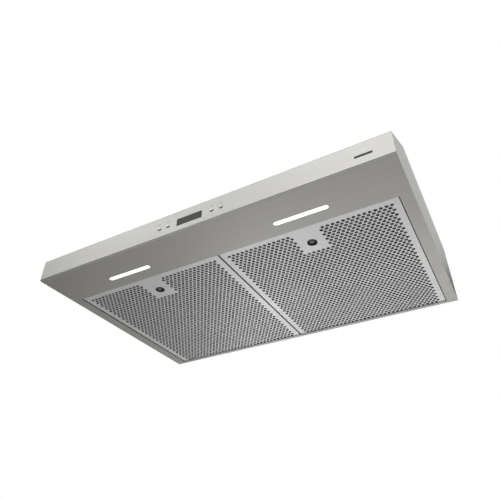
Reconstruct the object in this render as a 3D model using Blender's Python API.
"""Under cabinet range hood, 30 inch class, as an assembly of separate parts. Units are metres.

Every piece is drawn in the hood's own coordinates: x from the centre line, y back from the face of the
fascia, z up from the underside. The empty hood_frame then shifts all of it, so that the world's origin
is the middle of the flat top, which is screwed up against a cabinet. +Y points to the wall.
"""

import math

import bmesh
import bpy
from mathutils import Matrix, Vector

MM = 0.001
GAP = 0.3 * MM  # between pieces that touch on the real hood
SIDES = {"left": -1, "right": 1}

# Outer body, folded from stainless sheet
WIDTH = 758.8 * MM
DEPTH = 501.7 * MM
HEIGHT = 139.7 * MM
FASCIA_HEIGHT = 49.0 * MM
SLOPE_RUN = 133.0 * MM
SHEET = 1.2 * MM
BEND_RADIUS = 3.0 * MM
FASCIA_BEND_RADIUS = 3.5 * MM  # between the fascia and the underside
LIP_FLUSH = 5.0 * MM  # the fascia's top lip starts in line with the sloping sheet
LIP_STEP = 7.0 * MM  # and from here it runs under that sheet
LIP_LENGTH = 18.0 * MM
INSET = SHEET + GAP
HALF_WIDTH = WIDTH / 2

# Opening for the filters, with a wall folded up all round
OPENING_HALF_WIDTH = 357.0 * MM
OPENING_FRONT = 99.0 * MM
OPENING_REAR = 493.5 * MM
RECESS_WALL_TOP = 18.0 * MM
LEDGE_TOP = 1.5 * MM

# Grease filters
FILTER_INNER_X = 1.5 * MM
FILTER_OUTER_X = 355.5 * MM
FILTER_FRONT = 101.0 * MM
FILTER_REAR = 498.0 * MM
FILTER_BOTTOM = LEDGE_TOP + GAP
FILTER_TOP = FILTER_BOTTOM + 10.5 * MM
FILTER_SHEET = 0.8 * MM
FILTER_BACK_SHEET = 0.6 * MM
MESH_THICKNESS = 1.0 * MM
MESH_NOTCH_WIDTH = 60.0 * MM

# Filter latch
LATCH_X = 178.5 * MM
LATCH_Y = 151.0 * MM
LATCH_RING_RADIUS = 10.0 * MM
LATCH_NECK_RADIUS = 8.7 * MM
LATCH_WELL_RADIUS = 7.6 * MM
LATCH_GRIP_RADIUS = 4.8 * MM
LATCH_GRIP_Y = LATCH_Y - 1.5 * MM
LATCH_BODY_WIDTH = 26.0 * MM
LATCH_BODY_FRONT = LATCH_Y - 16.0 * MM
LATCH_BODY_REAR = LATCH_Y + 18.0 * MM
LATCH_ROOF = 1.4 * MM
MESH_NOTCH_END = LATCH_Y + 31.0 * MM
TONGUE_WIDTH = 12.0 * MM
TONGUE_TIP = OPENING_FRONT + GAP
TONGUE_END = LATCH_Y + 3.5 * MM
TONGUE_LOW = 6.8 * MM
TONGUE_HIGH = 8.6 * MM
SPRING_END = LATCH_BODY_REAR - 3.3 * MM
SPRING_RADIUS = 1.4 * MM
SPRING_WIRE = 0.25 * MM
SPRING_TURNS = 6

# Catch spring on the front wall of the opening
CATCH_WIDTH = 18.0 * MM
CATCH_THICKNESS = 0.5 * MM
CATCH_WINDOW_LOW = 2.5 * MM
CATCH_WINDOW_HIGH = 8.9 * MM

# Controls on the fascia
CONTROL_Z = 22.3 * MM
DISPLAY_WIDTH = 55.5 * MM
DISPLAY_HEIGHT = 16.3 * MM
BUTTONS = {"power": -68.0 * MM, "fan": -48.3 * MM, "light": 48.3 * MM, "timer": 68.0 * MM}
BUTTON_RADIUS = 3.7 * MM
BUTTON_PROUD = 2.2 * MM
BUTTON_STEM_END = 5.2 * MM
SWITCH_FACE = 7.0 * MM
BOARD_FRONT = 8.0 * MM
BOARD_THICKNESS = 1.6 * MM
BOARD_HALF_WIDTH = 84.0 * MM
BOARD_HALF_HEIGHT = 12.0 * MM
CONTROL_BOX_HALF_WIDTH = 88.0 * MM
CONTROL_BOX_HALF_HEIGHT = 16.0 * MM
CONTROL_BOX_DEPTH = 20.5 * MM
MOULDED_WALL = 2.0 * MM

# Slot lights in the front of the pan
LIGHT_X = 192.0 * MM
LIGHT_Y = 66.0 * MM
LIGHT_LENGTH = 105.0 * MM
LIGHT_WIDTH = 10.0 * MM
LIGHT_BOX_LENGTH = 121.0 * MM
LIGHT_BOX_WIDTH = 24.0 * MM
LIGHT_BOX_TOP = 15.0 * MM
LIGHT_BOARD_THICKNESS = 1.2 * MM

# Duct collar for a 3 1/4 by 10 inch duct, and its damper
COLLAR_HALF_WIDTH = 127.0 * MM
COLLAR_FRONT = 360.0 * MM
COLLAR_REAR = 443.0 * MM
COLLAR_TOP = HEIGHT + 20.0 * MM
COLLAR_SHEET = 1.0 * MM
COLLAR_FLANGE = 14.0 * MM
COLLAR_SCREW_X = COLLAR_HALF_WIDTH + 8.0 * MM
COLLAR_SCREW_Y = (COLLAR_FRONT + COLLAR_REAR) / 2
DAMPER_Y = COLLAR_FRONT + 4.5 * MM
DAMPER_Z = HEIGHT + 7.3 * MM
DAMPER_ROD_RADIUS = 1.5 * MM
DAMPER_SHEET = 0.8 * MM

# Twin blower: one shaft along x, a wheel in a scroll at each end, the motor between them
BLOWER_Y = 372.0 * MM
BLOWER_Z = 92.0 * MM
SCROLL_INNER_X = 36.0 * MM
SCROLL_OUTER_X = 126.0 * MM
SCROLL_START_RADIUS = 38.0 * MM
SCROLL_END_RADIUS = 50.0 * MM
SCROLL_TOP = 136.7 * MM
SCROLL_STEPS = 18
INLET_RADIUS = 27.0 * MM
WHEEL_INNER_X = 42.0 * MM
WHEEL_OUTER_X = 118.0 * MM
WHEEL_RADIUS = 33.0 * MM
WHEEL_RING = 4.5 * MM
WHEEL_BLADES = 20
SHAFT_RADIUS = 3.0 * MM
SHAFT_END_X = 60.0 * MM
MOTOR_RADIUS = 31.0 * MM
MOTOR_HALF_LENGTH = 26.0 * MM
MOTOR_END_DEPTH = 7.5 * MM
BRACKET_HALF_WIDTH = 12.0 * MM

# Wiring
KNOCKOUT_X = 325.0 * MM
KNOCKOUT_Z = 112.0 * MM
KNOCKOUT_RADIUS = 11.1 * MM
WIRING_BOX = ((285.0 * MM, 365.0 * MM), (420.0 * MM, DEPTH - INSET), (92.0 * MM, HEIGHT - INSET))
LEAD_RADIUS = 2.0 * MM
LEAD_END_GAP = 0.8 * MM  # a lead's end face may lean a little

KEYHOLES = [(x * MM, y * MM) for x in (-255.0, 255.0) for y in (170.0, 440.0)]
KEYHOLE_RADIUS = 5.0 * MM
KEYHOLE_NECK = 5.4 * MM
KEYHOLE_LENGTH = 16.0 * MM

FINISHES = {  # name: (red, green, blue), roughness, metallic
    "stainless": ((0.60, 0.60, 0.58), 0.32, 1.0),
    "galvanised": ((0.52, 0.54, 0.55), 0.45, 1.0),
    "filter_aluminium": ((0.66, 0.66, 0.66), 0.40, 1.0),
    "spring_steel": ((0.40, 0.40, 0.41), 0.30, 1.0),
    "bright_steel": ((0.75, 0.75, 0.76), 0.18, 1.0),
    "zinc": ((0.62, 0.62, 0.58), 0.35, 1.0),
    "motor_paint": ((0.06, 0.06, 0.065), 0.45, 0.0),
    "wheel_grey": ((0.24, 0.25, 0.26), 0.50, 0.0),
    "black_plastic": ((0.02, 0.02, 0.022), 0.45, 0.0),
    "grey_plastic": ((0.15, 0.15, 0.15), 0.50, 0.0),
    "white_plastic": ((0.75, 0.75, 0.73), 0.45, 0.0),
    "lens_white": ((0.92, 0.92, 0.90), 0.35, 0.0),
    "display_dark": ((0.10, 0.12, 0.10), 0.10, 0.0),
    "board_green": ((0.02, 0.14, 0.06), 0.50, 0.0),
    "lead_black": ((0.03, 0.03, 0.03), 0.60, 0.0),
}


class Frame:
    """An empty at a point of the hood, such as a joint's axis, that pieces are parented to."""

    def __init__(self, name, at=(0, 0, 0), parent=None):
        self.at = Vector(at)
        self.empty = bpy.data.objects.new(name, None)
        bpy.context.scene.collection.objects.link(self.empty)
        if parent:
            self.empty.parent = parent.empty
            self.empty.location = self.at - parent.at


def clear_scene():
    for obj in list(bpy.data.objects):
        bpy.data.objects.remove(obj, do_unlink=True)


def make_materials():
    for name, (colour, roughness, metallic) in FINISHES.items():
        made = bpy.data.materials.new(name)
        made.use_nodes = True
        shader = made.node_tree.nodes["Principled BSDF"]
        shader.inputs["Base Color"].default_value = (*colour, 1.0)
        shader.inputs["Roughness"].default_value = roughness
        shader.inputs["Metallic"].default_value = metallic


# Outlines in a plane, as lists of points


def turned_left(direction):
    return Vector((-direction.y, direction.x))


def offset_path(points, distance, closed=False):
    """The path moved to its left by distance, with mitred corners."""
    points = [Vector(point) for point in points]
    moved = []
    for index, point in enumerate(points):
        before = points[index - 1] if index or closed else None
        after = points[(index + 1) % len(points)] if index + 1 < len(points) or closed else None
        normals = []
        if before is not None:
            normals.append(turned_left((point - before).normalized()))
        if after is not None:
            normals.append(turned_left((after - point).normalized()))
        total = sum(normals, Vector((0, 0)))
        moved.append(point + total * distance / total.dot(normals[0]))
    return moved


def rounded_corner(before, corner, after, radius, steps=4):
    """The points of an arc that rounds one corner of an outline."""
    before, corner, after = Vector(before), Vector(corner), Vector(after)
    to_before = (before - corner).normalized()
    to_after = (after - corner).normalized()
    half = to_before.angle(to_after) / 2
    middle = (to_before + to_after).normalized()
    centre = corner + middle * radius / math.sin(half)
    start = corner + to_before * radius / math.tan(half) - centre
    end = corner + to_after * radius / math.tan(half) - centre
    turn = start.angle_signed(end)
    # angle_signed is positive clockwise, and a 2D rotation matrix turns anticlockwise.
    return [centre + Matrix.Rotation(-turn * step / steps, 2) @ start for step in range(steps + 1)]


def bent_sheet(points, radii, thickness):
    """Outline of a sheet folded at each inner point, with its thickness on their left.

    A radius of 0 leaves that fold sharp.
    """
    path = [points[0]]
    for before, corner, after, radius in zip(points, points[1:], points[2:], radii):
        path += rounded_corner(before, corner, after, radius) if radius else [corner]
    path.append(points[-1])
    return [Vector(point) for point in path] + offset_path(path, thickness)[::-1]


def arc(centre, radius, start, end, steps):
    """Points on a circle between two angles, in radians, both ends included."""
    angles = [start + (end - start) * step / steps for step in range(steps + 1)]
    return [(centre[0] + radius * math.cos(a), centre[1] + radius * math.sin(a)) for a in angles]


def slot_outline(centre, length, width, steps=6):
    """A slot with full round ends, long in the first direction."""
    reach = (length - width) / 2
    right = arc((centre[0] + reach, centre[1]), width / 2, -math.pi / 2, math.pi / 2, steps)
    left = arc((centre[0] - reach, centre[1]), width / 2, math.pi / 2, math.pi * 1.5, steps)
    return right + left


def keyhole_outline(centre):
    """A round hole whose neck runs towards +y and has a round end."""
    meet = math.asin(KEYHOLE_NECK / 2 / KEYHOLE_RADIUS)
    head = arc(centre, KEYHOLE_RADIUS, math.pi / 2 + meet, math.pi * 2.5 - meet, 12)
    neck_end = (centre[0], centre[1] + KEYHOLE_LENGTH - KEYHOLE_NECK / 2 - KEYHOLE_RADIUS)
    return head + arc(neck_end, KEYHOLE_NECK / 2, 0, math.pi, 6)


# Solid shapes, each a new bmesh in the hood's coordinates


def box(*spans):
    """A box from its (low, high) spans along x, y and z."""
    lows, highs = zip(*[sorted(span) for span in spans])
    middle = (Vector(lows) + Vector(highs)) / 2
    size = Vector(highs) - Vector(lows)
    shape = bmesh.new()
    bmesh.ops.create_cube(shape, size=1, matrix=Matrix.Translation(middle) @ Matrix.Diagonal((*size, 1)))
    return shape


def prism(outline, axis, low, high):
    """An outline in the plane across an axis, made solid from low to high along it."""
    place = {
        "X": lambda point, along: (along, point[0], point[1]),
        "Y": lambda point, along: (point[0], along, point[1]),
        "Z": lambda point, along: (point[0], point[1], along),
    }[axis]
    shape = bmesh.new()
    rings = [[shape.verts.new(place(point, along)) for point in outline] for along in (low, high)]
    shape.faces.new(rings[0])
    shape.faces.new(rings[1])
    for index in range(len(outline)):
        after = (index + 1) % len(outline)
        shape.faces.new((rings[0][index], rings[0][after], rings[1][after], rings[1][index]))
    return shape


def turned(profile, centre, axis, segments, hollow=False):
    """A profile of (along, radius) points turned about an axis; a hollow one is a closed loop."""
    around = {"X": (Vector((1, 0, 0)), Vector((0, 1, 0)), Vector((0, 0, 1)))}
    around["Y"] = (Vector((0, 1, 0)), Vector((0, 0, 1)), Vector((1, 0, 0)))
    around["Z"] = (Vector((0, 0, 1)), Vector((1, 0, 0)), Vector((0, 1, 0)))
    ahead, first, second = around[axis]
    shape = bmesh.new()
    rings = []
    for along, radius in profile:
        ring = []
        for index in range(segments if radius > 0 else 1):
            angle = 2 * math.pi * index / segments
            spoke = first * math.cos(angle) + second * math.sin(angle)
            ring.append(shape.verts.new(Vector(centre) + ahead * along + spoke * radius))
        rings.append(ring)
    joined = list(zip(rings, rings[1:]))
    if hollow:
        joined.append((rings[-1], rings[0]))
    for one, other in joined:
        for index in range(segments):
            after = (index + 1) % segments
            corners = (
                one[index % len(one)],
                one[after % len(one)],
                other[after % len(other)],
                other[index % len(other)],
            )
            shape.faces.new(list(dict.fromkeys(corners)))
    return shape


def rod(centre, radius, axis, low, high, segments=16):
    """A round bar from low to high along an axis, measured from its centre."""
    return turned([(low, 0), (low, radius), (high, radius), (high, 0)], centre, axis, segments)


def radial_slots(centre, low, high, inner, outer, width):
    """Boxes that point out from an axis along x, one over every second facet of a wheel's rim."""
    shape = bmesh.new()
    size = Matrix.Diagonal((high - low, outer - inner, width, 1))
    reach = Matrix.Translation(((low + high) / 2, (inner + outer) / 2, 0))
    for index in range(WHEEL_BLADES):
        turn = Matrix.Rotation(2 * math.pi * (index + 0.25) / WHEEL_BLADES, 4, "X")
        bmesh.ops.create_cube(shape, size=1, matrix=Matrix.Translation(centre) @ turn @ reach @ size)
    return shape


# Objects


def add_object(name, data, frame):
    obj = bpy.data.objects.new(name, data)
    bpy.context.scene.collection.objects.link(obj)
    obj.parent = frame.empty
    return obj


def shape_object(name, shape, frame):
    """An object from a shape, with its origin at the frame's point."""
    bmesh.ops.translate(shape, verts=shape.verts, vec=-frame.at)
    bmesh.ops.recalc_face_normals(shape, faces=shape.faces)
    mesh = bpy.data.meshes.new(name)
    shape.to_mesh(mesh)
    shape.free()
    return add_object(name, mesh, frame)


def combine(obj, operation, shapes, frame):
    for number, shape in enumerate(shapes, 1):
        helper = shape_object(f"{obj.name}_{operation.lower()}_{number}", shape, frame)
        helper.hide_render = True
        helper.display_type = "WIRE"
        modifier = obj.modifiers.new(helper.name, "BOOLEAN")
        modifier.operation = operation
        modifier.solver = "EXACT"
        modifier.object = helper


def piece(name, finish, base, frame, add=(), cut=(), smooth=False):
    """One solid piece: a base shape, shapes added to it, then shapes cut from it."""
    obj = shape_object(name, base, frame)
    obj.data.materials.append(bpy.data.materials[finish])
    combine(obj, "UNION", add, frame)
    combine(obj, "DIFFERENCE", cut, frame)
    if smooth:
        obj.data.shade_smooth()
        obj.data.set_sharp_from_angle(angle=math.radians(35))
    return obj


def wire(name, finish, points, radius, frame, resolution=1):
    """A round wire or lead along the points."""
    curve = bpy.data.curves.new(name, "CURVE")
    curve.dimensions = "3D"
    curve.bevel_depth = radius
    curve.bevel_resolution = resolution
    curve.use_fill_caps = True
    spline = curve.splines.new("POLY")
    spline.points.add(len(points) - 1)
    for made, point in zip(spline.points, points):
        made.co = (*(Vector(point) - frame.at), 1)
    curve.materials.append(bpy.data.materials[finish])
    return add_object(name, curve, frame)


def smooth_route(points, steps=5):
    """Points on a smooth curve through a short list of points."""
    points = [Vector(point) for point in points]
    padded = [2 * points[0] - points[1], *points, 2 * points[-1] - points[-2]]
    route = []
    for a, b, c, d in zip(padded, padded[1:], padded[2:], padded[3:]):
        for step in range(steps):
            t = step / steps
            curve = 2 * b + (c - a) * t + (2 * a - 5 * b + 4 * c - d) * t**2 + (3 * b - a - 3 * c + d) * t**3
            route.append(curve / 2)
    return route + [points[-1]]


# Outer body


def on_slope(along, depth=0.0):
    """The (y, z) point this far up the sloping front from the fascia, and this far inside it."""
    slope = math.atan2(HEIGHT - FASCIA_HEIGHT, SLOPE_RUN)
    return (
        along * math.cos(slope) + depth * math.sin(slope),
        FASCIA_HEIGHT + along * math.sin(slope) - depth * math.cos(slope),
    )


def make_underside_pan(hood):
    """Fascia, front panel and rims in one folded sheet, with the filter opening's walls turned up."""
    path = [
        on_slope(LIP_LENGTH, INSET),
        on_slope(LIP_STEP, INSET),
        on_slope(LIP_FLUSH),
        (0, FASCIA_HEIGHT),
        (0, 0),
        (DEPTH - INSET, 0),
    ]
    fold = bent_sheet(path, [0, 0, BEND_RADIUS, FASCIA_BEND_RADIUS], SHEET)
    opening_x = (-OPENING_HALF_WIDTH, OPENING_HALF_WIDTH)
    wall_x = (-OPENING_HALF_WIDTH - SHEET, OPENING_HALF_WIDTH + SHEET)
    above = RECESS_WALL_TOP + SHEET
    walls = box(wall_x, (OPENING_FRONT - SHEET, OPENING_REAR + SHEET), (SHEET / 2, RECESS_WALL_TOP))
    cuts = [
        box(opening_x, (OPENING_FRONT, OPENING_REAR), (-SHEET, above)),
        box((-HALF_WIDTH, HALF_WIDTH), (OPENING_REAR - SHEET, OPENING_REAR + 2 * SHEET), (LEDGE_TOP, above)),
        box(
            (-DISPLAY_WIDTH / 2, DISPLAY_WIDTH / 2),
            (-SHEET, 2 * SHEET),
            (CONTROL_Z - DISPLAY_HEIGHT / 2, CONTROL_Z + DISPLAY_HEIGHT / 2),
        ),
    ]
    for sign in SIDES.values():
        slot = slot_outline((sign * LIGHT_X, LIGHT_Y), LIGHT_LENGTH, LIGHT_WIDTH)
        cuts.append(prism(slot, "Z", -SHEET, 2 * SHEET))
        catch_x = (sign * LATCH_X - CATCH_WIDTH / 2 - GAP, sign * LATCH_X + CATCH_WIDTH / 2 + GAP)
        front_wall = (OPENING_FRONT - 2 * SHEET, OPENING_FRONT + SHEET)
        cuts.append(box(catch_x, front_wall, (CATCH_WINDOW_LOW, CATCH_WINDOW_HIGH)))
        lip_end_x = (sign * (HALF_WIDTH - INSET), sign * (HALF_WIDTH + SHEET))
        lip_end_y = (on_slope(LIP_FLUSH)[0], LIP_LENGTH)
        cuts.append(box(lip_end_x, lip_end_y, (FASCIA_HEIGHT - 5 * SHEET, FASCIA_HEIGHT + LIP_LENGTH)))
    for x in BUTTONS.values():
        cuts.append(rod((x, 0, CONTROL_Z), BUTTON_RADIUS + GAP, "Y", -SHEET, 2 * SHEET))
    base = prism(fold, "X", -HALF_WIDTH, HALF_WIDTH)
    piece("underside_pan", "stainless", base, hood, add=[walls], cut=cuts)


def make_canopy_top(hood):
    """Sloping front and flat top in one sheet, with the duct opening and four keyholes for screws."""
    path = [(DEPTH - INSET, HEIGHT), (SLOPE_RUN, HEIGHT), on_slope(LIP_STEP + GAP)]
    duct = box(
        (-COLLAR_HALF_WIDTH - SHEET, COLLAR_HALF_WIDTH + SHEET),
        (COLLAR_FRONT - SHEET, COLLAR_REAR + SHEET),
        (HEIGHT - 2 * SHEET, HEIGHT + SHEET),
    )
    cuts = [duct]
    for centre in KEYHOLES:
        cuts.append(prism(keyhole_outline(centre), "Z", HEIGHT - 2 * SHEET, HEIGHT + SHEET))
    for sign in SIDES.values():
        screw = (sign * COLLAR_SCREW_X, COLLAR_SCREW_Y, HEIGHT)
        cuts.append(rod(screw, 2.1 * MM, "Z", -2 * SHEET, SHEET, 12))
    base = prism(bent_sheet(path, [BEND_RADIUS], SHEET), "X", -HALF_WIDTH, HALF_WIDTH)
    piece("canopy_top", "stainless", base, hood, cut=cuts)


def make_side_panels(hood):
    """Flat side panels, held between the folded sheets."""
    outline = [(0, 0), (DEPTH, 0), (DEPTH, HEIGHT), (SLOPE_RUN, HEIGHT), (0, FASCIA_HEIGHT)]
    corner, *others = offset_path(outline, INSET, closed=True)
    edge = rounded_corner(others[-1], corner, others[0], FASCIA_BEND_RADIUS - INSET) + others
    for side, sign in SIDES.items():
        shape = prism(edge, "X", sign * (HALF_WIDTH - SHEET), sign * HALF_WIDTH)
        piece(f"side_panel_{side}", "stainless", shape, hood)


def make_back_panel(hood):
    back = box((-HALF_WIDTH, HALF_WIDTH), (DEPTH - SHEET, DEPTH), (0, HEIGHT))
    centre = (KNOCKOUT_X, DEPTH, KNOCKOUT_Z)
    hole = rod(centre, KNOCKOUT_RADIUS, "Y", -2 * SHEET, SHEET, 24)
    piece("back_panel", "galvanised", back, hood, cut=[hole])
    disc = rod(centre, KNOCKOUT_RADIUS - GAP, "Y", -SHEET, 0, 24)
    piece("wiring_knockout", "galvanised", disc, hood)


# Grease filters and their latches


def filter_span(sign):
    """How far one filter reaches along x."""
    return tuple(sorted((sign * FILTER_INNER_X, sign * FILTER_OUTER_X)))


def make_filter(side, sign, frame):
    """A perforated sheet folded up into a tray, a layer of mesh, and a back sheet."""
    low_x, high_x = filter_span(sign)
    latch_x = sign * LATCH_X
    tray = box((low_x, high_x), (FILTER_FRONT, FILTER_REAR), (FILTER_BOTTOM, FILTER_TOP))
    inside = box(
        (low_x + FILTER_SHEET, high_x - FILTER_SHEET),
        (FILTER_FRONT + FILTER_SHEET, FILTER_REAR - FILTER_SHEET),
        (FILTER_BOTTOM + FILTER_SHEET, FILTER_TOP + FILTER_SHEET),
    )
    neck = rod((latch_x, LATCH_Y, FILTER_BOTTOM), LATCH_NECK_RADIUS + GAP, "Z", -SHEET, 2 * SHEET, 24)
    tongue_slot = box(
        (latch_x - TONGUE_WIDTH / 2 - 2 * GAP, latch_x + TONGUE_WIDTH / 2 + 2 * GAP),
        (FILTER_FRONT - SHEET, FILTER_FRONT + 2 * SHEET),
        (TONGUE_LOW - 2 * GAP, TONGUE_HIGH + 2 * GAP),
    )
    piece(f"filter_face_{side}", "stainless", tray, frame, cut=[inside, neck, tongue_slot])

    edge = FILTER_SHEET + GAP
    rear, front = FILTER_REAR - edge, FILTER_FRONT + edge
    notch = (latch_x - MESH_NOTCH_WIDTH / 2, latch_x + MESH_NOTCH_WIDTH / 2)
    outline = [
        (low_x + edge, front),
        (notch[0], front),
        (notch[0], MESH_NOTCH_END),
        (notch[1], MESH_NOTCH_END),
        (notch[1], front),
        (high_x - edge, front),
        (high_x - edge, rear),
        (low_x + edge, rear),
    ]
    mesh_low = FILTER_BOTTOM + edge
    mesh = prism(outline, "Z", mesh_low, mesh_low + MESH_THICKNESS)
    piece(f"filter_mesh_{side}", "filter_aluminium", mesh, frame)
    back_top = FILTER_TOP - GAP
    back = box((low_x + edge, high_x - edge), (front, rear), (back_top - FILTER_BACK_SHEET, back_top))
    piece(f"filter_back_{side}", "filter_aluminium", back, frame)


def make_latch(side, sign, filter_frame, latch_frame):
    """A cup in the filter, and the spring-loaded slider whose tongue sits over the catch."""
    x = sign * LATCH_X
    cup_top = FILTER_TOP - 2 * GAP - FILTER_BACK_SHEET - GAP
    ring_low = FILTER_BOTTOM - FILTER_SHEET
    body_low = FILTER_BOTTOM + FILTER_SHEET + GAP
    body = box(
        (x - LATCH_BODY_WIDTH / 2, x + LATCH_BODY_WIDTH / 2),
        (LATCH_BODY_FRONT, LATCH_BODY_REAR),
        (body_low, cup_top),
    )
    face = [
        (ring_low, 0),
        (ring_low, LATCH_RING_RADIUS - 0.6 * MM),
        (ring_low + 0.2 * MM, LATCH_RING_RADIUS),
        (ring_low + 0.5 * MM, LATCH_RING_RADIUS),
        (ring_low + 0.5 * MM, LATCH_NECK_RADIUS),
        (body_low + 1.0 * MM, LATCH_NECK_RADIUS),
        (body_low + 1.0 * MM, 0),
    ]
    ring = turned(face, (x, LATCH_Y, 0), "Z", 32)
    well = rod((x, LATCH_Y, 0), LATCH_WELL_RADIUS, "Z", ring_low - SHEET, cup_top - LATCH_ROOF, 32)
    channel = box(
        (x - TONGUE_WIDTH / 2 - GAP, x + TONGUE_WIDTH / 2 + GAP),
        (LATCH_BODY_FRONT - SHEET, LATCH_Y + LATCH_WELL_RADIUS - GAP),
        (TONGUE_LOW - GAP, TONGUE_HIGH + GAP),
    )
    middle_z = (TONGUE_LOW + TONGUE_HIGH) / 2
    reach = SPRING_RADIUS + SPRING_WIRE + GAP
    chamber = box((x - reach, x + reach), (LATCH_Y, SPRING_END + GAP), (middle_z - reach, middle_z + reach))
    cuts = [well, channel, chamber]
    piece(f"latch_cup_{side}", "black_plastic", body, filter_frame, add=[ring], cut=cuts)

    half = TONGUE_WIDTH / 2
    tongue = box((x - half, x + half), (TONGUE_TIP, TONGUE_END), (TONGUE_LOW, TONGUE_HIGH))
    grip_profile = [
        (ring_low + 0.4 * MM, 0),
        (ring_low + 0.4 * MM, LATCH_GRIP_RADIUS - 0.8 * MM),
        (ring_low + 1.2 * MM, LATCH_GRIP_RADIUS),
        (TONGUE_LOW + 1.0 * MM, LATCH_GRIP_RADIUS),
        (TONGUE_LOW + 1.0 * MM, 0),
    ]
    grip = turned(grip_profile, (x, LATCH_GRIP_Y, 0), "Z", 24)
    piece(f"latch_slider_{side}", "grey_plastic", tongue, latch_frame, add=[grip])

    start, end = TONGUE_END + 2 * GAP, SPRING_END - GAP
    coil = []
    for step in range(SPRING_TURNS * 8 + 1):
        angle = step * math.pi / 4
        along = start + (end - start) * step / (SPRING_TURNS * 8)
        coil.append((x + SPRING_RADIUS * math.cos(angle), along, middle_z + SPRING_RADIUS * math.sin(angle)))
    wire(f"latch_spring_{side}", "spring_steel", coil, SPRING_WIRE, filter_frame, resolution=0)


def make_catch_spring(side, sign, hood):
    """A leaf of spring steel behind the opening's front wall, whose nose comes through a window."""
    root_y = OPENING_FRONT - SHEET - GAP
    path = [(17.5, 0), (7.9, 0), (5.6, 3.4), (4.1, 2.4), (3.1, 0), (1.9, 0)]  # height, then reach
    points = [(root_y + reach * MM, height * MM) for height, reach in path]
    strip = points + offset_path(points, -CATCH_THICKNESS)[::-1]
    x = sign * LATCH_X
    shape = prism(strip, "X", x - CATCH_WIDTH / 2, x + CATCH_WIDTH / 2)
    piece(f"catch_spring_{side}", "spring_steel", shape, hood)


# Controls and lights


def make_controls(hood):
    width, height = CONTROL_BOX_HALF_WIDTH, CONTROL_BOX_HALF_HEIGHT
    shell = box((-width, width), (INSET, INSET + CONTROL_BOX_DEPTH), (CONTROL_Z - height, CONTROL_Z + height))
    width, height = width - MOULDED_WALL, height - MOULDED_WALL
    inside = box(
        (-width, width),
        (0, INSET + CONTROL_BOX_DEPTH - MOULDED_WALL),
        (CONTROL_Z - height, CONTROL_Z + height),
    )
    piece("control_housing", "black_plastic", shell, hood, cut=[inside])

    board = box(
        (-BOARD_HALF_WIDTH, BOARD_HALF_WIDTH),
        (BOARD_FRONT, BOARD_FRONT + BOARD_THICKNESS),
        (CONTROL_Z - BOARD_HALF_HEIGHT, CONTROL_Z + BOARD_HALF_HEIGHT),
    )
    switches = []
    for x in BUTTONS.values():
        half = 3.0 * MM
        depth = (SWITCH_FACE, BOARD_FRONT + BOARD_THICKNESS / 2)
        switches.append(box((x - half, x + half), depth, (CONTROL_Z - half, CONTROL_Z + half)))
    piece("control_board", "board_green", board, hood, add=switches)

    half_w, half_h = DISPLAY_WIDTH / 2, DISPLAY_HEIGHT / 2
    rim = 2.2 * MM
    module = box(
        (-half_w - rim, half_w + rim),
        (2.2 * MM, BOARD_FRONT - GAP),
        (CONTROL_Z - half_h - rim, CONTROL_Z + half_h + rim),
    )
    piece("lcd_module", "white_plastic", module, hood)
    window = box(
        (-half_w + GAP, half_w - GAP),
        (0.15 * MM, 1.9 * MM),
        (CONTROL_Z - half_h + GAP, CONTROL_Z + half_h - GAP),
    )
    piece("lcd_window", "display_dark", window, hood)


def make_button(name, x, frame):
    """A domed cap with a collar behind the fascia and a stem that reaches its switch."""
    edge = 0.9 * MM
    dome = []
    for step in range(5):
        angle = step * math.pi / 8
        rise = (BUTTON_PROUD - edge) * math.cos(angle)
        dome.append((-edge - rise, BUTTON_RADIUS * math.sin(angle)))
    profile = dome + [
        (INSET, BUTTON_RADIUS),
        (INSET, BUTTON_RADIUS + 1.1 * MM),
        (INSET + 0.9 * MM, BUTTON_RADIUS + 1.1 * MM),
        (INSET + 0.9 * MM, 1.8 * MM),
        (BUTTON_STEM_END, 1.8 * MM),
        (BUTTON_STEM_END, 0),
    ]
    shape = turned(profile, (x, 0, CONTROL_Z), "Y", 20)
    piece(f"button_{name}", "bright_steel", shape, frame, smooth=True)


def make_light(side, sign, hood):
    """A diffuser in its slot, and a strip of lights in a pressed box above it."""
    x = sign * LIGHT_X
    centre = (x, LIGHT_Y)
    face_outline = slot_outline(centre, LIGHT_LENGTH - 2 * GAP, LIGHT_WIDTH - 2 * GAP)
    flange_outline = slot_outline(centre, LIGHT_LENGTH + 6 * MM, LIGHT_WIDTH + 6 * MM)
    face = prism(face_outline, "Z", 0.1 * MM, INSET + 0.4 * MM)
    flange = prism(flange_outline, "Z", INSET, INSET + 1 * MM)
    piece(f"light_lens_{side}", "lens_white", flange, hood, add=[face])
    half_l, half_w = LIGHT_BOX_LENGTH / 2, LIGHT_BOX_WIDTH / 2
    shell = box((x - half_l, x + half_l), (LIGHT_Y - half_w, LIGHT_Y + half_w), (INSET, LIGHT_BOX_TOP))
    half_l, half_w = half_l - SHEET, half_w - SHEET
    inside = box((x - half_l, x + half_l), (LIGHT_Y - half_w, LIGHT_Y + half_w), (0, LIGHT_BOX_TOP - SHEET))
    piece(f"light_housing_{side}", "galvanised", shell, hood, cut=[inside])
    board_top = LIGHT_BOX_TOP - INSET
    half_l, half_w = LIGHT_LENGTH / 2 - 4 * MM, LIGHT_WIDTH / 2
    board = box(
        (x - half_l, x + half_l),
        (LIGHT_Y - half_w, LIGHT_Y + half_w),
        (board_top - LIGHT_BOARD_THICKNESS, board_top),
    )
    piece(f"light_board_{side}", "white_plastic", board, hood)


# Duct collar and damper


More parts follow.
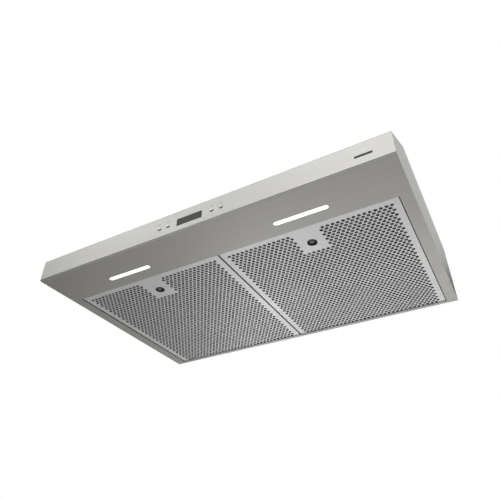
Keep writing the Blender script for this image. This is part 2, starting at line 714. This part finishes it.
def make_duct_collar(hood):
    """A neck that rises through the top sheet from a flange below it, with a stop for the flap."""
    flange_top = HEIGHT - INSET
    flange = box(
        (-COLLAR_HALF_WIDTH - COLLAR_FLANGE, COLLAR_HALF_WIDTH + COLLAR_FLANGE),
        (COLLAR_FRONT - COLLAR_FLANGE, COLLAR_REAR + COLLAR_FLANGE),
        (flange_top - COLLAR_SHEET, flange_top),
    )
    neck_low = flange_top - COLLAR_SHEET / 2
    neck = box((-COLLAR_HALF_WIDTH, COLLAR_HALF_WIDTH), (COLLAR_FRONT, COLLAR_REAR), (neck_low, COLLAR_TOP))
    half_width = COLLAR_HALF_WIDTH - COLLAR_SHEET
    bore = box(
        (-half_width, half_width),
        (COLLAR_FRONT + COLLAR_SHEET, COLLAR_REAR - COLLAR_SHEET),
        (flange_top - 5 * MM, COLLAR_TOP + 5 * MM),
    )
    collar = piece("duct_collar", "galvanised", flange, hood, add=[neck], cut=[bore])
    stop_top = DAMPER_Z - DAMPER_SHEET / 2 - GAP
    stop_y = (COLLAR_REAR - 5 * MM, COLLAR_REAR - COLLAR_SHEET / 2)
    stop = box((-30 * MM, 30 * MM), stop_y, (stop_top - 1.5 * MM, stop_top))
    combine(collar, "UNION", [stop], hood)
    pivot = rod((0, DAMPER_Y, DAMPER_Z), DAMPER_ROD_RADIUS + GAP, "X", -HALF_WIDTH, HALF_WIDTH, 12)
    holes = [pivot]
    for sign in SIDES.values():
        screw = (sign * COLLAR_SCREW_X, COLLAR_SCREW_Y, flange_top)
        holes.append(rod(screw, 2.1 * MM, "Z", -2 * SHEET, SHEET, 12))
    combine(collar, "DIFFERENCE", holes, hood)


def make_damper(frame):
    """A flap whose front edge is curled round a rod."""
    half_rod = COLLAR_HALF_WIDTH - 0.1 * MM
    pivot = (0, DAMPER_Y, DAMPER_Z)
    pin = rod(pivot, DAMPER_ROD_RADIUS, "X", -half_rod, half_rod, 12)
    piece("damper_rod", "zinc", pin, frame, smooth=True)
    half = COLLAR_HALF_WIDTH - 2 * MM
    bore = DAMPER_ROD_RADIUS + GAP
    curl_radius = bore + 1.0 * MM
    curl_profile = [(-half, bore), (-half, curl_radius), (half, curl_radius), (half, bore)]
    curl = turned(curl_profile, pivot, "X", 16, hollow=True)
    half_sheet = DAMPER_SHEET / 2
    plate = box(
        (-half, half),
        (DAMPER_Y + bore + 0.3 * MM, COLLAR_REAR - 2 * COLLAR_SHEET),
        (DAMPER_Z - half_sheet, DAMPER_Z + half_sheet),
    )
    piece("damper_flap", "galvanised", curl, frame, add=[plate], smooth=True)


# Blower


def scroll_outline(offset, top):
    """The scroll's wall, which widens from its cut-off at the top round to its rear, then rises."""
    full_turn = 1.5 * math.pi
    points = [(BLOWER_Y + SCROLL_END_RADIUS + offset, top)]
    for step in range(SCROLL_STEPS + 1):
        turn = full_turn * (1 - step / SCROLL_STEPS)
        growth = (SCROLL_END_RADIUS - SCROLL_START_RADIUS) * turn / full_turn
        radius = SCROLL_START_RADIUS + growth + offset
        points.append((BLOWER_Y - radius * math.sin(turn), BLOWER_Z + radius * math.cos(turn)))
    throat = BLOWER_Y + SHEET - offset
    if throat > BLOWER_Y:
        points.append((throat, BLOWER_Z + SCROLL_START_RADIUS))
    points.append((throat, top))
    return points


def make_blower_housing(side, sign, hood):
    outer = prism(scroll_outline(SHEET, SCROLL_TOP), "X", sign * SCROLL_INNER_X, sign * SCROLL_OUTER_X)
    inner_x = (sign * (SCROLL_INNER_X + SHEET), sign * (SCROLL_OUTER_X - SHEET))
    inner = prism(scroll_outline(0, SCROLL_TOP + 5 * MM), "X", *inner_x)
    axis = (0, BLOWER_Y, BLOWER_Z)
    ends = sorted((sign * (SCROLL_OUTER_X - 3 * SHEET), sign * (SCROLL_OUTER_X + SHEET)))
    inlet = rod(axis, INLET_RADIUS, "X", *ends, 32)
    ends = sorted((sign * (SCROLL_INNER_X - SHEET), sign * (SCROLL_INNER_X + 3 * SHEET)))
    shaft_hole = rod(axis, 10 * MM, "X", *ends, 20)
    piece(f"blower_housing_{side}", "galvanised", outer, hood, cut=[inner, inlet, shaft_hole])


def make_blower_wheel(side, sign, frame):
    """A cup with a hub, its rim cut into blades."""
    web = 1.6 * MM
    hub_radius = 7.0 * MM
    bore = SHAFT_RADIUS + GAP
    profile = [
        (WHEEL_INNER_X, bore),
        (WHEEL_INNER_X, WHEEL_RADIUS),
        (WHEEL_OUTER_X, WHEEL_RADIUS),
        (WHEEL_OUTER_X, WHEEL_RADIUS - WHEEL_RING),
        (WHEEL_INNER_X + web, WHEEL_RADIUS - WHEEL_RING),
        (WHEEL_INNER_X + web, hub_radius),
        (SHAFT_END_X - 2 * MM, hub_radius),
        (SHAFT_END_X - 2 * MM, bore),
    ]
    profile = [(sign * along, radius) for along, radius in profile]
    axis = (0, BLOWER_Y, BLOWER_Z)
    cup = turned(profile, axis, "X", 2 * WHEEL_BLADES, hollow=True)
    slots = radial_slots(
        (0, BLOWER_Y, BLOWER_Z),
        sign * (WHEEL_INNER_X + 5 * MM),
        sign * (WHEEL_OUTER_X - 4 * MM),
        WHEEL_RADIUS - 2 * WHEEL_RING,
        WHEEL_RADIUS + WHEEL_RING,
        4.4 * MM,
    )
    piece(f"blower_wheel_{side}", "wheel_grey", cup, frame, cut=[slots])


def make_motor(hood, rotor):
    axis = (0, BLOWER_Y, BLOWER_Z)
    bore = SHAFT_RADIUS + GAP
    length = MOTOR_HALF_LENGTH
    shell = [(-length, 9 * MM), (-length, MOTOR_RADIUS), (length, MOTOR_RADIUS), (length, 9 * MM)]
    piece("motor_body", "motor_paint", turned(shell, axis, "X", 32, hollow=True), hood, smooth=True)
    start = length + GAP
    end = start + MOTOR_END_DEPTH
    cap = [
        (start, bore),
        (start, MOTOR_RADIUS),
        (start + 2 * MM, MOTOR_RADIUS),
        (end - 2 * MM, MOTOR_RADIUS - 12 * MM),
        (end - 1.5 * MM, 8 * MM),
        (end, 7 * MM),
        (end, bore),
    ]
    for side, sign in SIDES.items():
        profile = [(sign * along, radius) for along, radius in cap]
        shape = turned(profile, axis, "X", 32, hollow=True)
        piece(f"motor_end_{side}", "zinc", shape, hood, smooth=True)
    shaft = rod(axis, SHAFT_RADIUS, "X", -SHAFT_END_X, SHAFT_END_X, 16)
    piece("motor_shaft", "bright_steel", shaft, rotor, smooth=True)


def make_motor_bracket(hood):
    """A band round the motor that hangs from the top sheet by a folded strap."""
    inner = MOTOR_RADIUS + GAP
    outer = inner + 1.5 * MM
    half = BRACKET_HALF_WIDTH
    band = turned(
        [(-half, inner), (-half, outer), (half, outer), (half, inner)],
        (0, BLOWER_Y, BLOWER_Z),
        "X",
        32,
        hollow=True,
    )
    web_y = BLOWER_Y - outer
    top = HEIGHT - INSET
    web = box((-half, half), (web_y - 0.5 * MM, web_y + 1 * MM), (BLOWER_Z, top))
    foot = box((-half, half), (web_y - 22 * MM, web_y + 1 * MM), (top - 1.5 * MM, top))
    piece("motor_bracket", "zinc", band, hood, add=[web, foot])


# Wiring


def make_wiring(hood):
    (x0, x1), (y0, y1), (z0, z1) = WIRING_BOX
    wall = 1.0 * MM
    shell = box((x0, x1), (y0, y1), (z0, z1))
    inside = box((x0 + wall, x1 - wall), (y0 + wall, y1 + wall), (z0 - wall, z1 - wall))
    piece("wiring_box", "galvanised", shell, hood, cut=[inside])
    cover_top = z0 - GAP
    middle = ((x0 + x1) / 2, (y0 + y1) / 2, cover_top)
    hole = rod(middle, 2.1 * MM, "Z", -3 * wall, wall, 12)
    cover = box((x0, x1), (y0, y1), (cover_top - wall, cover_top))
    piece("wiring_box_cover", "galvanised", cover, hood, cut=[hole])
    block_top = z1 - wall - GAP
    block = box((x0 + 20 * MM, x1 - 20 * MM), (y0 + 30 * MM, y0 + 46 * MM), (block_top - 14 * MM, block_top))
    piece("terminal_block", "white_plastic", block, hood)
    supply = box((272 * MM, 350 * MM), (34 * MM, 76 * MM), (INSET, INSET + 22 * MM))
    piece("light_supply", "white_plastic", supply, hood)
    radius = 13 * MM
    centre = (0, 300 * MM, HEIGHT - INSET - radius)
    can = rod(centre, radius, "X", -96 * MM, -44 * MM, 20)
    piece("motor_capacitor", "white_plastic", can, hood, smooth=True)


def make_leads(hood):
    """Inner leads: between the lights, from the supply to the wiring box, and on to the motor."""
    light_end = LIGHT_X - LIGHT_BOX_LENGTH / 2 - LEAD_END_GAP
    low = SHEET + LEAD_RADIUS + GAP
    across = [(x * MM, 50 * MM, low) for x in (-75, -25, 25, 75)]
    ends = [(light_end - reach * MM, LIGHT_Y, 7 * MM) for reach in (0, 8)]
    first = [(-x, y, z) for x, y, z in ends]
    wire("lights_lead", "lead_black", smooth_route(first + across + ends[::-1]), LEAD_RADIUS, hood)

    supply = [(310, 76.8, 14), (310, 82, 14.5), (311, 88, 21), (312, 94, 40), (314, 106, 76), (317, 142, 118)]
    supply += [(320, 200, 133), (322, 340, 133)]
    box_front = WIRING_BOX[1][0] - LEAD_END_GAP
    route = [tuple(value * MM for value in point) for point in supply]
    route += [(325 * MM, box_front - reach * MM, 118 * MM) for reach in (10, 0)]
    wire("supply_lead", "lead_black", smooth_route(route), LEAD_RADIUS, hood)

    motor = [(215, 400, 131), (160, 330, 132), (100, 282, 131), (48, 276, 130), (22, 298, 118), (20, 320, 98)]
    box_side = WIRING_BOX[0][0] - LEAD_END_GAP
    motor_front = BLOWER_Y - MOTOR_RADIUS - LEAD_END_GAP
    route = [(box_side - reach * MM, 440 * MM, 118 * MM) for reach in (0, 10)]
    route += [tuple(value * MM for value in point) for point in motor]
    route += [(20 * MM, motor_front - reach * MM, BLOWER_Z) for reach in (8, 0)]
    wire("motor_lead", "lead_black", smooth_route(route), LEAD_RADIUS, hood)


def make_screw(name, centre, frame):
    """A pan head screw whose head is below and whose thread points up."""
    profile = [
        (-3.2 * MM, 0),
        (-3.0 * MM, 2.4 * MM),
        (-2.2 * MM, 3.6 * MM),
        (-GAP, 3.8 * MM),
        (-GAP, 1.7 * MM),
        (2.6 * MM, 1.7 * MM),
        (2.6 * MM, 0),
    ]
    piece(name, "zinc", turned(profile, centre, "Z", 12), frame, smooth=True)


def make_screws(hood):
    flange_low = HEIGHT - INSET - COLLAR_SHEET
    for side, sign in SIDES.items():
        make_screw(f"collar_screw_{side}", (sign * COLLAR_SCREW_X, COLLAR_SCREW_Y, flange_low), hood)
    (x0, x1), (y0, y1), (z0, _) = WIRING_BOX
    make_screw("cover_screw", ((x0 + x1) / 2, (y0 + y1) / 2, z0 - GAP - 1.0 * MM), hood)


def main():
    clear_scene()
    make_materials()
    hood = Frame("hood_frame")
    hood.empty.location = (0, -DEPTH / 2, -HEIGHT)
    make_underside_pan(hood)
    make_canopy_top(hood)
    make_side_panels(hood)
    make_back_panel(hood)
    make_controls(hood)
    for name, x in BUTTONS.items():
        make_button(name, x, Frame(f"button_{name}_axis", (x, 0, CONTROL_Z), hood))
    for side, sign in SIDES.items():
        swing = Frame(f"filter_{side}_hinge", (0, OPENING_REAR, LEDGE_TOP), hood)
        slide = Frame(f"latch_{side}_axis", (sign * LATCH_X, LATCH_Y, TONGUE_LOW), swing)
        make_filter(side, sign, swing)
        make_latch(side, sign, swing, slide)
        make_catch_spring(side, sign, hood)
        make_light(side, sign, hood)
    make_duct_collar(hood)
    make_damper(Frame("damper_hinge", (0, DAMPER_Y, DAMPER_Z), hood))
    rotor = Frame("blower_axis", (0, BLOWER_Y, BLOWER_Z), hood)
    make_motor(hood, rotor)
    make_motor_bracket(hood)
    for side, sign in SIDES.items():
        make_blower_housing(side, sign, hood)
        make_blower_wheel(side, sign, rotor)
    make_wiring(hood)
    make_leads(hood)
    make_screws(hood)


main()
